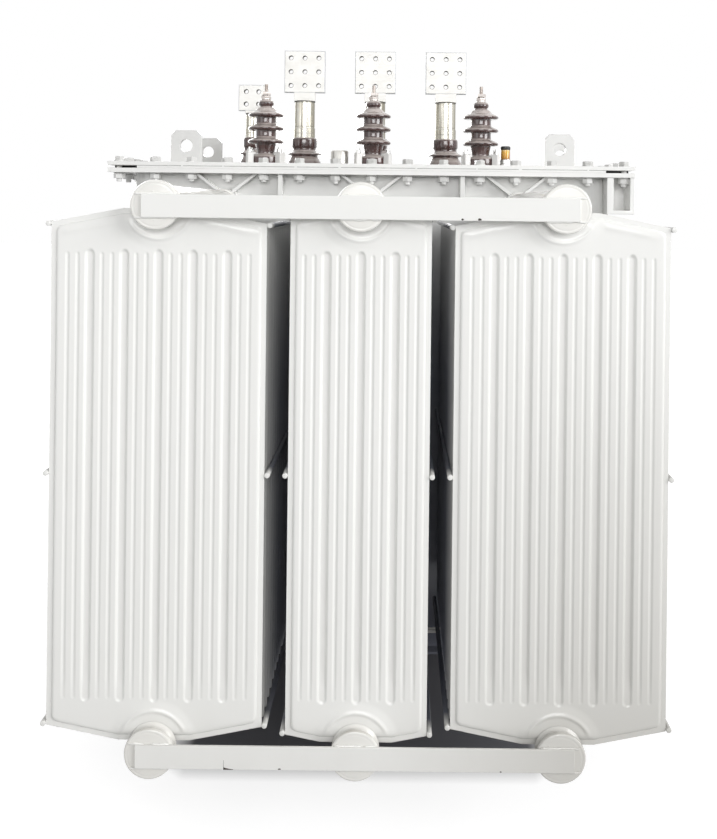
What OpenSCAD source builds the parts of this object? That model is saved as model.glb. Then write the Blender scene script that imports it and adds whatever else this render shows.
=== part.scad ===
// Oil-filled rectifier transformer: a closed steel tank on two skids, a bolted lid with
// bushings and lifting lugs, and three pressed-panel radiators on each long side.
// Millimetres, X to the right, front towards -Y, Z up, origin on the floor under the tank.

/* [Tank] */
// Length of the tank over its walls
tank_len = 1496; // [1200:4:1800]
// Depth of the tank over its walls
tank_dep = 582; // [480:2:800]
// Thickness of the tank wall plate
wall_t = 6; // [4:1:12]
// Outside radius of the bent tank corners
corner_r = 60; // [30:5:120]
// Thickness of the floor plate
floor_t = 10; // [6:1:20]
// How far the floor plate stands out past the walls
floor_lip = 10; // [0:1:30]
// Height of the skid channels
skid_h = 100; // [80:5:160]
// Width of a skid channel
skid_w = 50; // [40:2:80]
// Plate thickness of a skid channel
skid_t = 8; // [5:1:12]
// Length of the skid channels
skid_len = 1300; // [900:10:1480]
// Distance between the middles of the two skids
skid_gauge = 400; // [280:10:520]
// Distance of an anchor hole from the end of its skid
anchor_inset = 100; // [60:5:200]
// Diameter of an anchor hole
anchor_d = 22; // [14:1:30]

/* [Lid] */
// Height of the flange over the top header pipes
flange_rise = 97; // [90:1:140]
// Overhang of flange and lid past the tank walls
rim_out = 59; // [40:1:90]
// Thickness of the tank flange
flange_t = 14; // [8:1:24]
// Thickness of the lid plate
lid_t = 12; // [8:1:20]
// Thickness of gasket and edge strips
strip_t = 8; // [4:1:14]
// Width of an edge strip
strip_w = 12; // [8:1:20]
// Length of open slot left at each corner
strip_gap = 90; // [30:1:140]
// Distance of a short edge strip from the corner of the lid
strip_side_gap = 150; // [30:1:200]
// Width of the rubber gasket
gasket_w = 22; // [12:1:30]
// Width of a lifting lug
lug_w = 98; // [70:2:140]
// Height of a lifting lug
lug_h = 108; // [80:2:150]
// Thickness of a lifting lug
lug_t = 18; // [10:1:30]
// Diameter of the hole in a lug
lug_hole_d = 40; // [25:1:60]
// Height of the lug hole over the lid
lug_hole_z = 59; // [40:1:90]
// Cut corner of a lug
lug_cut = 16; // [5:1:30]
// Distance of the lugs from the middle along the tank
lug_x = 600; // [450:5:700]
// Distance of the rear right lug from the middle
lug_far_x = 664; // [450:2:720]
// Distance of the lugs from the middle across the tank
lug_y = 185; // [120:5:260]

/* [Radiators] */
// Distance between top and bottom header pipes
header_span = 1200; // [800:10:1600]
// Height of the bottom header pipe
header_z = 222; // [170:1:260]
// Distance between neighbouring radiators
rad_pitch = 450; // [420:5:520]
// Width of the two outer radiators
wide_w = 480; // [400:2:520]
// Width of the middle radiator
narrow_w = 315; // [240:1:400]
// Number of panels in a radiator
panels = 17; // [6:1:24]
// Distance from panel to panel
panel_pitch = 45; // [40:1:60]
// Thickness of the welded panel rim
rim_t = 3; // [2:0.5:5]
// Width of the welded panel rim
rim_w = 12; // [10:1:24]
// Cut of the outer corners of a panel
corner_cut = 4; // [2:0.5:8]
// Thickness of the hollow panel body
body_t = 12; // [8:1:18]
// Thickness of the raised collar round the header
collar_t = 22; // [14:1:28]
// Radius of the raised collar round the header
collar_r = 78; // [65:1:95]
// Outside diameter of a header pipe
pipe_d = 89; // [60:1:108]
// Wall thickness of a header pipe
pipe_t = 4; // [3:0.5:8]
// Diameter of the end disc of a header
disc_d = 110; // [96:1:140]
// Thickness of the end disc
disc_t = 10; // [6:1:16]
// Distance from the disc front to the first panel
disc_lead = 47; // [30:1:80]
// Distance from the tank wall to the last panel
wall_lead = 154; // [140:1:260]
// Drop from header middle to the flat top of a panel
top_drop = 8; // [4:1:14]
// Half width of the flat top of a panel
top_half = 80; // [78:1:100]
// Slope of the panel shoulders
shoulder = 0.198; // [0.1:0.002:0.3]
// Distance from one wide flute to the next
flute_pitch = 75; // [66:0.5:84]
// Distance from a wide flute to the narrow one beside it
flute_step = 26.5; // [22:0.5:30]
// Width of a wide flute
flute_wide = 21; // [14:0.5:24]
// Depth of a wide flute
flute_deep = 4; // [2:0.5:5]
// Width of a narrow flute
flute_slim = 9; // [6:0.5:12]
// Depth of a narrow flute
flute_low = 2.5; // [1:0.5:4]
// Wide flutes on each side of the middle one, wide panel
wide_flutes = 2; // [1:1:2]
// Wide flutes on each side of the middle one, narrow panel
narrow_flutes = 1; // [0:1:1]
// Distance from header middle to the ends of the wide flutes
flute_end = 101; // [90:1:130]
// How much shorter a narrow flute is at each end
slim_short = 6; // [0:1:15]
// Diameter of the tie rods along the panel edges
rod_d = 12; // [8:1:16]
// Height of a brace bar
brace_h = 51; // [30:1:80]
// How far a brace bar sits below the header axis
brace_drop = 2; // [0:1:10]
// Thickness of a brace bar
brace_t = 6; // [4:1:12]
// How far a brace bar runs past the outer headers
brace_out = 29; // [20:1:60]
// Outside diameter of the weld sleeve between stub and header
sleeve_d = 98; // [94:1:120]
// Length of the weld sleeve
sleeve_len = 50; // [30:1:80]
// Length of the stub on the tank wall
stub_len = 40; // [20:1:80]
// Gap that a weld seam fills between two parts
weld_gap = 0.3; // [0.1:0.1:0.5]

/* [Ribs] */
// Distance of the upright ribs from the middle
rib_x = 280; // [240:5:300]
// Thickness of an upright rib
rib_t = 14; // [8:1:20]
// Depth of an upright rib
rib_dep = 45; // [20:1:56]
// Thickness of a slanting rib
vee_t = 9; // [6:1:14]
// Depth of a slanting rib
vee_dep = 28; // [15:1:36]
// Angle of the slanting ribs from the upright
vee_angle = 52; // [30:1:58]
// Height over a top pipe's middle where its slanting ribs would meet
vee_lift = 26; // [10:1:36]
// Thickness of the plates of the side bracket
bracket_t = 12; // [8:1:16]
// Thickness of the inner cheek of the side bracket
cheek_t = 20; // [10:1:24]
// Distance of the inner cheek from the tank's end
cheek_in = 26; // [22:1:40]
// Depth of the side bracket
bracket_dep = 95; // [60:1:140]
// Drop of the side bracket under the flange
bracket_drop = 112; // [80:1:160]

/* [Bushings] */
// Distance between the high-voltage bushings
hv_pitch = 350; // [250:5:400]
// Distance of the high-voltage row in front of the middle
hv_y = 150; // [110:5:200]
// Distance between the low-voltage bushings
lv_pitch = 245; // [200:5:300]
// Distance of the low-voltage row behind the middle
lv_y = 70; // [40:5:160]
// Distance of the small bushing from the middle
lv_small_x = 426; // [380:2:480]
// Radius of the high-voltage base
base_r = 44; // [40:1:50]
// Height of the high-voltage base
base_h = 26; // [18:1:34]
// Height of the tapered foot over the base
foot_h = 42; // [36:1:60]
// Height of the lowest shed over the foot
shed_rise = 10; // [8:1:16]
// Radius of a porcelain shed
shed_r = 57; // [45:1:70]
// Distance from shed to shed
shed_pitch = 43; // [36:1:52]
// Radius of the porcelain core
core_r = 33; // [26:1:40]
// Radius of the porcelain spigot in the lid
hv_spigot_r = 26; // [18:1:30]
// Radius of the low-voltage spigot in the lid
lv_spigot_r = 40; // [30:1:44]
// Clearance between a spigot and its hole in the lid
spigot_play = 1; // [0.5:0.5:3]
// Depth that a spigot reaches under the lid
spigot_dep = 25; // [10:1:50]
// Radius of the knob over the sheds
knob_r = 25; // [20:1:30]
// Height of the knob with its neck
knob_h = 30; // [24:1:40]
// Diameter of the high-voltage stud
stud_d = 12; // [8:1:20]
// Height of the washer under the nuts
washer_h = 4; // [2:0.5:8]
// Radius of the nuts on the stud
nut_r = 16; // [12:1:20]
// Height of the pair of nuts
nut_h = 22; // [14:1:30]
// Length of stud over the nuts
stud_out = 24; // [10:1:40]
// Width of a clamp claw
claw_w = 20; // [14:1:26]
// Reach of a claw past the base
claw_out = 22; // [16:1:30]
// Reach of a claw over the base
claw_in = 14; // [6:1:16]
// Height of a claw over the base
claw_over = 16; // [8:1:24]
// Clearance of a claw from the porcelain
claw_play = 1; // [0.5:0.5:2]
// Height of the low-voltage porcelain
lv_h = 105; // [80:1:130]
// Radius of the low-voltage base
lv_base_r = 62; // [56:1:70]
// Radius of the low-voltage neck
lv_neck_r = 40; // [38:1:46]
// Radius of the small base
small_base_r = 43.5; // [38:0.5:50]
// Radius of the small neck
small_neck_r = 28; // [24:1:34]
// Distance of the oil sight from the middle
sight_x = 431; // [420:1:500]
// Radius of the sight glass
sight_r = 15; // [10:0.5:17]
// Height of the sight glass
sight_h = 32; // [20:1:50]
// Height of the foot under the glass
sight_z = 26; // [16:1:40]
// Width of the guard post of the oil sight
post_w = 16; // [10:1:24]
// Thickness of the guard post
post_t = 11.5; // [8:0.5:14]
// Distance of the filler cap from the middle
filler_x = 109; // [60:1:250]
// Radius of the filler cap
filler_r = 28; // [20:1:36]
// Height of the filler cap
filler_h = 50; // [36:1:70]
// Rim of the filler neck round the cap
filler_lip = 5; // [3:1:10]
// Width of a terminal flag
flag_w = 141; // [100:1:160]
// Height of a terminal flag
flag_h = 145; // [100:1:160]
// Thickness of a terminal flag
flag_t = 20; // [12:1:28]
// Diameter of the holes in a flag
flag_hole_d = 14; // [9:1:18]
// Distance between the holes in a flag
flag_pitch = 48; // [36:1:52]
// Radius of a low-voltage stem
stem_r = 35; // [25:1:37]
// Height of the ring at the foot of a stem
ring_h = 33; // [20:1:45]
// Overhang of that ring
ring_lip = 1.5; // [1:0.5:3]
// Length of a stem over its porcelain
stem_h = 128; // [90:1:180]
// Width of the neck under a flag
neck_w = 73; // [50:1:90]
// Height of the neck under a flag
neck_h = 29; // [10:1:50]
// Radius of the small stem
small_stem_r = 22; // [16:1:25]
// Length of the small stem over its porcelain
small_stem_h = 84; // [60:1:130]
// Width of the neck under the small flag
small_neck_w = 50; // [36:1:60]
// Height of the neck under the small flag
small_neck_h = 8; // [4:1:30]
// Width of the small flag
small_w = 96; // [70:1:110]
// Height of the small flag
small_h = 90; // [70:1:110]
// Distance between the holes in the small flag
small_pitch = 43; // [30:1:50]

/* [Hidden] */
shed_z = base_h + foot_h + shed_rise;
hv_top = shed_z + 2 * shed_pitch + 20 + knob_h;
$fn = 64;
front_wall = tank_dep / 2;
floor_z = skid_h + floor_t;
top_z = header_z + header_span;
flange_z = top_z + flange_rise;
lid_z = flange_z + flange_t + strip_t;
deck_z = lid_z + lid_t;
lid_len = tank_len + 2 * rim_out;
lid_dep = tank_dep + 2 * rim_out;
last_panel = front_wall + wall_lead;
first_panel = last_panel + (panels - 1) * panel_pitch;
disc_face = first_panel + disc_lead;
stub_end = front_wall + stub_len;
header_in = stub_end + sleeve_len;
eps = 0.5;

paint = [0.86, 0.87, 0.84];
metal = [0.72, 0.72, 0.70];
glaze = [0.22, 0.12, 0.09];

// Flat outline with round corners, drawn from squares and circles
module round_plan(l, d, r) {
  square([l - 2 * r, d], center = true);
  square([l, d - 2 * r], center = true);
  for (sx = [-1, 1])
    for (sy = [-1, 1])
      translate([sx * (l / 2 - r), sy * (d / 2 - r)])
        circle(r = r);
}

// Plate of thickness t standing in the X-Z plane, middle on Y = 0
module upright(t) {
  rotate([90, 0, 0])
    translate([0, 0, -t / 2])
      linear_extrude(height = t)
        children();
}

// Round bar along Y from y0 to y1
module bar_y(r, y0, y1) {
  translate([0, y1, 0])
    rotate([90, 0, 0])
      cylinder(r = r, h = y1 - y0);
}

// Turns the front bank round to the rear side
module to_rear() {
  rotate([0, 0, 180])
    children();
}

module base_skids() {
  color(paint)
    for (s = [-1, 1])
      translate([0, s * skid_gauge / 2, 0])
        difference() {
          translate([-skid_len / 2, -skid_w / 2, 0])
            cube([skid_len, skid_w, skid_h]);
          translate([-skid_len / 2 - 1, s * skid_t - skid_w / 2, skid_t])
            cube([skid_len + 2, skid_w, skid_h - 2 * skid_t]);
          for (x = [anchor_inset - skid_len / 2, skid_len / 2 - anchor_inset])
            translate([x, s * skid_t / 2, -1])
              cylinder(d = anchor_d, h = skid_t + 2);
        }
}

module tank_floor() {
  color(paint)
    translate([0, 0, skid_h])
      linear_extrude(height = floor_t)
        round_plan(tank_len + 2 * floor_lip, tank_dep + 2 * floor_lip, corner_r + floor_lip);
}

module tank_walls() {
  color(paint)
    difference() {
      translate([0, 0, floor_z])
        linear_extrude(height = flange_z + flange_t - floor_z)
          difference() {
            round_plan(tank_len, tank_dep, corner_r);
            round_plan(tank_len - 2 * wall_t, tank_dep - 2 * wall_t, corner_r - wall_t);
          }
      for (z = [header_z, top_z])
        for (i = [-1, 0, 1])
          translate([i * rad_pitch, 0, z])
            bar_y(pipe_d / 2 - pipe_t, -front_wall - 1, front_wall + 1);
    }
}

module tank_flange() {
  color(paint)
    translate([0, 0, flange_z])
      linear_extrude(height = flange_t)
        difference() {
          square([lid_len, lid_dep], center = true);
          round_plan(tank_len, tank_dep, corner_r);
        }
}

// One side of ribs: two uprights and a pair of slanting ribs over each top stub
module rib_side() {
  for (s = [-1, 1])
    translate([s * rib_x - rib_t / 2, -front_wall - rib_dep, floor_z])
      cube([rib_t, rib_dep, flange_z - floor_z]);
  for (i = [-1, 0, 1])
    for (s = [-1, 1])
      intersection() {
        difference() {
          translate([i * rad_pitch, -front_wall - vee_dep, top_z + vee_lift])
            rotate([0, s * vee_angle, 0])
              translate([-vee_t / 2, 0, vee_t])
                cube([vee_t, vee_dep, 160]);
          translate([i * rad_pitch, 0, top_z])
            bar_y(pipe_d / 2 + weld_gap, -front_wall - rib_dep, 0);
        }
        translate([-tank_len / 2, -front_wall - rib_dep, floor_z])
          cube([tank_len, rib_dep, flange_z - floor_z]);
      }
}

module tank_ribs() {
  color(paint) {
    rib_side();
    to_rear()
      rib_side();
  }
}

// Pocket under the flange at the front right corner: shelf, outer plate, inner cheek and back
module side_bracket() {
  front = 4 - lid_dep / 2;
  inner = tank_len / 2 - cheek_in;
  outer = lid_len / 2 - 2;
  color(paint)
    translate([0, 0, flange_z - bracket_drop])
      difference() {
        union() {
          translate([inner, front, 0])
            cube([outer - inner, bracket_dep, bracket_t]);
          translate([outer - bracket_t, front, 0])
            cube([bracket_t, bracket_dep, bracket_drop]);
          translate([inner, front, 0])
            cube([cheek_t, bracket_dep, bracket_drop]);
          translate([inner, front + bracket_dep - bracket_t, 0])
            cube([outer - inner, bracket_t, bracket_drop]);
        }
        translate([0, 0, -1])
          linear_extrude(height = bracket_drop + 2)
            round_plan(tank_len + 2 * weld_gap, tank_dep + 2 * weld_gap, corner_r + weld_gap);
      }
}

module gasket() {
  color([0.08, 0.08, 0.08])
    translate([0, 0, flange_z + flange_t])
      linear_extrude(height = strip_t)
        difference() {
          round_plan(tank_len + 10, tank_dep + 10, corner_r + 5);
          round_plan(tank_len + 10 - 2 * gasket_w, tank_dep + 10 - 2 * gasket_w,
            corner_r + 5 - gasket_w);
        }
}

module edge_strips() {
  color(paint)
    translate([0, 0, flange_z + flange_t])
      for (s = [-1, 1]) {
        translate([0, s * (lid_dep - strip_w) / 2, strip_t / 2])
          cube([lid_len - 2 * strip_gap, strip_w, strip_t], center = true);
        translate([s * (lid_len - strip_w) / 2, 0, strip_t / 2])
          cube([strip_w, lid_dep - 2 * strip_side_gap, strip_t], center = true);
      }
}

module lid() {
  color(paint)
    translate([0, 0, lid_z])
      difference() {
        translate([-lid_len / 2, -lid_dep / 2, 0])
          cube([lid_len, lid_dep, lid_t]);
        for (i = [-1, 0, 1]) {
          translate([i * hv_pitch, -hv_y, -1])
            cylinder(r = hv_spigot_r + spigot_play, h = lid_t + 2);
          translate([i * lv_pitch, lv_y, -1])
            cylinder(r = lv_spigot_r + spigot_play, h = lid_t + 2);
        }
        translate([-lv_small_x, lv_y, -1])
          cylinder(r = hv_spigot_r + spigot_play, h = lid_t + 2);
      }
}

module lug() {
  upright(lug_t)
    difference() {
      polygon([
        [-lug_w / 2, 0], [lug_w / 2, 0], [lug_w / 2, lug_h - lug_cut],
        [lug_w / 2 - lug_cut, lug_h], [lug_cut - lug_w / 2, lug_h],
        [-lug_w / 2, lug_h - lug_cut]
      ]);
      translate([0, lug_hole_z])
        circle(d = lug_hole_d);
    }
}

module lifting_lugs() {
  color(paint)
    for (p = [[-lug_x, -lug_y], [-lug_x, lug_y], [lug_x, -lug_y], [lug_far_x, lug_y]])
      translate([p[0], p[1], deck_z])
        lug();
}

// High-voltage porcelain: spigot, base, tapered foot, three sheds and a knob
module hv_porcelain() {
  color(glaze)
    rotate_extrude()
      polygon(concat(
        [[0, -spigot_dep], [hv_spigot_r, -spigot_dep], [hv_spigot_r, 0], [base_r, 0], [base_r, base_h],
          [base_r - 6, base_h + 7], [core_r - 5, base_h + 12], [core_r, base_h + foot_h]],
        [for (i = [0:2], p = [[core_r, -5], [shed_r - 4, -5], [shed_r, -2], [shed_r - 1, 2],
          [core_r + 7, 13], [core_r, 19]]) [p[0], p[1] + shed_z + i * shed_pitch]],
        [[knob_r - 3, hv_top - 26], [knob_r - 6, hv_top - 23], [knob_r - 1, hv_top - 19],
          [knob_r, hv_top - 12],
          [knob_r - 4, hv_top - 4], [knob_r - 11, hv_top], [0, hv_top]]
      ));
}

module hv_stud() {
  nut_z = hv_top + washer_h;
  tip_z = nut_z + nut_h + stud_out;
  color([0.75, 0.66, 0.56])
    rotate_extrude()
      polygon([
        [0, hv_top], [nut_r - 5, hv_top], [nut_r - 5, nut_z], [nut_r, nut_z], [nut_r, nut_z + nut_h],
        [stud_d / 2, nut_z + nut_h], [stud_d / 2, tip_z - 2], [stud_d / 2 - 1, tip_z], [0, tip_z]
      ]);
}

// Clamp claws that hold the high-voltage bases down
module hv_clamps() {
  color(metal)
    for (i = [-1, 0, 1], a = [30, 150, 210, 330])
      translate([i * hv_pitch, -hv_y, deck_z])
        rotate([0, 0, a])
          difference() {
            translate([base_r - claw_in, -claw_w / 2, 0])
              cube([claw_in + claw_out, claw_w, base_h + claw_over]);
            translate([0, 0, -1])
              cylinder(r = base_r + claw_play, h = base_h + 8 + claw_play);
            translate([0, 0, base_h])
              cylinder(r = base_r - 6 + claw_play, h = claw_over + 1);
          }
}

// Low-voltage porcelain: spigot, flared base, skirt and collar between neck and base radius
module lv_porcelain(r0, r1, sp) {
  w = r1 - r0;
  color(glaze)
    rotate_extrude()
      polygon([
        [0, -spigot_dep], [sp, -spigot_dep], [sp, 0], [r1, 0], [r1, lv_h - 95], [r0 + 0.73 * w, lv_h - 79],
        [r0 + 0.27 * w, lv_h - 65], [r0 + 0.45 * w, lv_h - 61], [r0 + 0.86 * w, lv_h - 59],
        [r0 + 0.91 * w, lv_h - 56], [r0 + 0.55 * w, lv_h - 50], [r0 + 0.09 * w, lv_h - 45],
        [r0, lv_h - 37], [r0 + 0.18 * w, lv_h - 31], [r0 + 0.18 * w, lv_h - 7], [r0, lv_h], [0, lv_h]
      ]);
}

// Terminal: ring and stem under a flag with a square field of n by n holes
module lv_terminal(w, h, n, pitch, r, stem, nw, nh) {
  ring_z = lv_h + ring_h;
  neck_z = lv_h + stem;
  flag_z = neck_z + nh;
  color(metal) {
    rotate_extrude()
      polygon([
        [0, lv_h], [r + ring_lip, lv_h], [r + ring_lip, ring_z], [r, ring_z + 2], [r, neck_z], [0, neck_z]
      ]);
    difference() {
      union() {
        translate([-nw / 2, -flag_t / 2, neck_z - 1])
          cube([nw, flag_t, nh + 2]);
        translate([-w / 2, -flag_t / 2, flag_z])
          cube([w, flag_t, h]);
      }
      for (i = [0:n - 1], j = [0:n - 1])
        translate([(i - (n - 1) / 2) * pitch, 0, flag_z + h / 2 + (j - (n - 1) / 2) * pitch])
          bar_y(flag_hole_d / 2, -flag_t, flag_t);
    }
  }
}

module lv_big() {
  lv_terminal(flag_w, flag_h, 3, flag_pitch, stem_r, stem_h, neck_w, neck_h);
}

module lv_small() {
  translate([-lv_small_x, lv_y, deck_z])
    lv_terminal(small_w, small_h, 2, small_pitch, small_stem_r, small_stem_h, small_neck_w, small_neck_h);
}

module filler_cap() {
  color(metal)
    translate([-filler_x, -hv_y, deck_z])
      rotate_extrude()
        polygon([
          [0, 0], [filler_r + filler_lip, 0], [filler_r + filler_lip, 8], [filler_r, 8],
          [filler_r, filler_h - 4], [filler_r - 3, filler_h], [0, filler_h]
        ]);
}

// Foot of the oil sight, with a guard post beside the glass
module sight_base() {
  color(metal)
    translate([sight_x, -hv_y, deck_z])
      union() {
        rotate_extrude()
          polygon([
            [0, 0], [sight_r + 7, 0], [sight_r + 7, 10], [sight_r + 3, 14], [sight_r + 3, sight_z],
            [0, sight_z]
          ]);
        translate([-sight_r - 2.5 - post_t, -post_w / 2, 0])
          cube([post_t, post_w, sight_z + sight_h + 2]);
      }
}

module sight_glass() {
  color([0.85, 0.55, 0.1])
    translate([sight_x, -hv_y, deck_z + sight_z])
      cylinder(r = sight_r, h = sight_h);
}

module sight_cap() {
  color([0.08, 0.08, 0.08])
    translate([sight_x, -hv_y, deck_z + sight_z + sight_h])
      rotate_extrude()
        polygon([[0, 0], [sight_r, 0], [sight_r + 1, 3], [sight_r + 1, 9], [sight_r - 2, 12], [0, 12]]);
}

// Outline of a panel, inset by m, with cut corners of size c
function drop_at(half) = top_drop + shoulder * (half - top_half);
function outline(half, m, c) = let (
    x = half - m,
    top = top_z - drop_at(half) - m,
    low = header_z + drop_at(half) + m,
    rise = shoulder * (x - top_half)
  ) [
    [-x, low + c], [c - x, low - shoulder * c], [-top_half, low - rise], [top_half, low - rise],
    [x - c, low - shoulder * c], [x, low + c], [x, top - c], [x - c, top + shoulder * c],
    [top_half, top + rise], [-top_half, top + rise], [c - x, top + shoulder * c], [-x, top - c]
  ];

// A pressed panel: welded rim, hollow body, collars round both headers
module panel(half) {
  difference() {
    union() {
      upright(rim_t)
        polygon(outline(half, 0, corner_cut));
      upright(body_t)
        polygon(outline(half, rim_w, 12));
      intersection() {
        for (z = [header_z, top_z])
          translate([0, 0, z])
            bar_y(collar_r, -collar_t / 2, collar_t / 2);
        translate([-half, -collar_t, header_z + top_drop + rim_w])
          cube([2 * half, 2 * collar_t, header_span - 2 * top_drop - 2 * rim_w]);
      }
    }
    for (z = [header_z, top_z])
      translate([0, 0, z])
        bar_y(pipe_d / 2 + weld_gap, -collar_t, collar_t);
  }
}

// Tool that presses one flute of width w and depth d into a panel face, m shorter at each end
module flute(w, d, m) {
  r = (w * w / 4 + d * d) / (2 * d);
  len = header_span - 2 * flute_end - 2 * m;
  translate([0, -body_t / 2 - r + d, header_z + flute_end + m])
    rotate_extrude()
      polygon([[0, 0], [r - d - 1, 0], [r, d * 3], [r, len - d * 3], [r - d - 1, len], [0, len]]);
}

// Stack of panels with flutes pressed into the outermost one
module panel_stack(i, w, n) {
  color(paint)
    translate([i * rad_pitch, 0, 0]) {
      translate([0, -first_panel, 0])
        difference() {
          panel(w / 2);
          for (k = [-n:n])
            translate([k * flute_pitch, 0, 0]) {
              flute(flute_wide, flute_deep, 0);
              for (s = [-1, 1])
                translate([s * flute_step, 0, 0])
                  flute(flute_slim, flute_low, slim_short);
            }
          for (s = [-1, 1])
            translate([s * ((n + 1) * flute_pitch - flute_step), 0, 0])
              flute(flute_slim, flute_low, slim_short);
        }
      for (k = [1:panels - 1])
        translate([0, k * panel_pitch - first_panel, 0])
          panel(w / 2);
    }
}

// Top and bottom header pipe of one radiator, with end disc
module header_pair(i) {
  color(paint)
    for (z = [header_z, top_z])
      translate([i * rad_pitch, 0, z])
        difference() {
          union() {
            bar_y(disc_d / 2, -disc_face, disc_t - disc_face);
            bar_y(pipe_d / 2, disc_t - disc_face - 1, -header_in);
          }
          bar_y(pipe_d / 2 - pipe_t, disc_t - disc_face, 1 - header_in);
        }
}

// Stub and weld sleeve between tank wall and header, six on a side
module stubs() {
  color(paint)
    for (z = [header_z, top_z], i = [-1, 0, 1])
      translate([i * rad_pitch, 0, z])
        difference() {
          union() {
            bar_y(pipe_d / 2, -stub_end - 1, -front_wall);
            bar_y(sleeve_d / 2, -header_in, -stub_end);
          }
          bar_y(pipe_d / 2 - pipe_t, -header_in - 1, 1 - front_wall);
        }
}

// Rods welded along the panel edges of the three radiators
module tie_rods() {
  color(paint)
    for (i = [-1, 0, 1], s = [-1, 1]) {
      half = (i == 0 ? narrow_w : wide_w) / 2;
      fall = drop_at(half) + corner_cut;
      for (z = [header_z + fall, header_z + header_span / 2, top_z - fall])
        translate([i * rad_pitch + s * (half + rod_d / 2 + weld_gap), 0, z])
          bar_y(rod_d / 2, -first_panel - body_t / 2, body_t / 2 - last_panel);
    }
}

module brace_bars() {
  color(paint)
    for (z = [header_z, top_z])
      translate([-rad_pitch - brace_out, -disc_face - brace_t, z - brace_h / 2 - brace_drop])
        cube([2 * (rad_pitch + brace_out), brace_t, brace_h]);
}

// Small low-voltage porcelain
module lv_porcelain_4() {
  translate([-lv_small_x, lv_y, deck_z])
    lv_porcelain(small_neck_r, small_base_r, hv_spigot_r);
}

module hv_at(i) {
  translate([i * hv_pitch, -hv_y, deck_z])
    children();
}

module lv_at(i) {
  translate([i * lv_pitch, lv_y, deck_z])
    children();
}

module hv_porcelain_1() {
  hv_at(-1)
    hv_porcelain();
}

module hv_stud_1() {
  hv_at(-1)
    hv_stud();
}

module lv_porcelain_1() {
  lv_at(-1)
    lv_porcelain(lv_neck_r, lv_base_r, lv_spigot_r);
}

module lv_terminal_1() {
  lv_at(-1)
    lv_big();
}

module hv_porcelain_2() {
  hv_at(0)
    hv_porcelain();
}

module hv_stud_2() {
  hv_at(0)
    hv_stud();
}

module lv_porcelain_2() {
  lv_at(0)
    lv_porcelain(lv_neck_r, lv_base_r, lv_spigot_r);
}

module lv_terminal_2() {
  lv_at(0)
    lv_big();
}

module hv_porcelain_3() {
  hv_at(1)
    hv_porcelain();
}

module hv_stud_3() {
  hv_at(1)
    hv_stud();
}

module lv_porcelain_3() {
  lv_at(1)
    lv_porcelain(lv_neck_r, lv_base_r, lv_spigot_r);
}

module lv_terminal_3() {
  lv_at(1)
    lv_big();
}

module lv_terminal_4() {
  lv_small();
}

module front_left_panels() {
  panel_stack(-1, wide_w, wide_flutes);
}

module rear_left_panels() {
  to_rear()
    panel_stack(1, wide_w, wide_flutes);
}

module front_left_headers() {
  header_pair(-1);
}

module rear_left_headers() {
  to_rear()
    header_pair(1);
}

module front_mid_panels() {
  panel_stack(0, narrow_w, narrow_flutes);
}

module rear_mid_panels() {
  to_rear()
    panel_stack(0, narrow_w, narrow_flutes);
}

module front_mid_headers() {
  header_pair(0);
}

module rear_mid_headers() {
  to_rear()
    header_pair(0);
}

module front_right_panels() {
  panel_stack(1, wide_w, wide_flutes);
}

module rear_right_panels() {
  to_rear()
    panel_stack(-1, wide_w, wide_flutes);
}

module front_right_headers() {
  header_pair(1);
}

module rear_right_headers() {
  to_rear()
    header_pair(-1);
}

module front_stubs() {
  stubs();
}

module rear_stubs() {
  to_rear()
    stubs();
}

module front_tie_rods() {
  tie_rods();
}

module rear_tie_rods() {
  to_rear()
    tie_rods();
}

module front_brace_bars() {
  brace_bars();
}

module rear_brace_bars() {
  to_rear()
    brace_bars();
}

base_skids();
tank_floor();
tank_walls();
tank_flange();
tank_ribs();
side_bracket();
gasket();
edge_strips();
lid();
lifting_lugs();
hv_porcelain_1();
hv_porcelain_2();
hv_porcelain_3();
hv_stud_1();
hv_stud_2();
hv_stud_3();
hv_clamps();
lv_porcelain_1();
lv_porcelain_2();
lv_porcelain_3();
lv_porcelain_4();
lv_terminal_1();
lv_terminal_2();
lv_terminal_3();
lv_terminal_4();
filler_cap();
sight_base();
sight_glass();
sight_cap();
front_left_panels();
front_mid_panels();
front_right_panels();
rear_left_panels();
rear_mid_panels();
rear_right_panels();
front_left_headers();
front_mid_headers();
front_right_headers();
rear_left_headers();
rear_mid_headers();
rear_right_headers();
front_stubs();
rear_stubs();
front_tie_rods();
rear_tie_rods();
front_brace_bars();
rear_brace_bars();
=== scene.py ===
import math
import random
from collections import namedtuple

import bmesh
import bpy
import numpy as np
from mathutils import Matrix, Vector


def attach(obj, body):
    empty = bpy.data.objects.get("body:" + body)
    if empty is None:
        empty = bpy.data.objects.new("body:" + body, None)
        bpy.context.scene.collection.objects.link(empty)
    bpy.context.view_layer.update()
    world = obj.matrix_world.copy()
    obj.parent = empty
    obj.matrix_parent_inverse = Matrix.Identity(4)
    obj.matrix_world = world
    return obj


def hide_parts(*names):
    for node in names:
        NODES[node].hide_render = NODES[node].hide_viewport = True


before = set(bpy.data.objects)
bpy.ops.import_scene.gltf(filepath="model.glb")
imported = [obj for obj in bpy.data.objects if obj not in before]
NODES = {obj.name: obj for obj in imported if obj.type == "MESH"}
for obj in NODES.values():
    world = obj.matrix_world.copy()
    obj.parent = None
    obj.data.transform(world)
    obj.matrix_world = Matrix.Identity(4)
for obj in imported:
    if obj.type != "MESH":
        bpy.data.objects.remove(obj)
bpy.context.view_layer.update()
rnd = random.Random(7)

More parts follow.
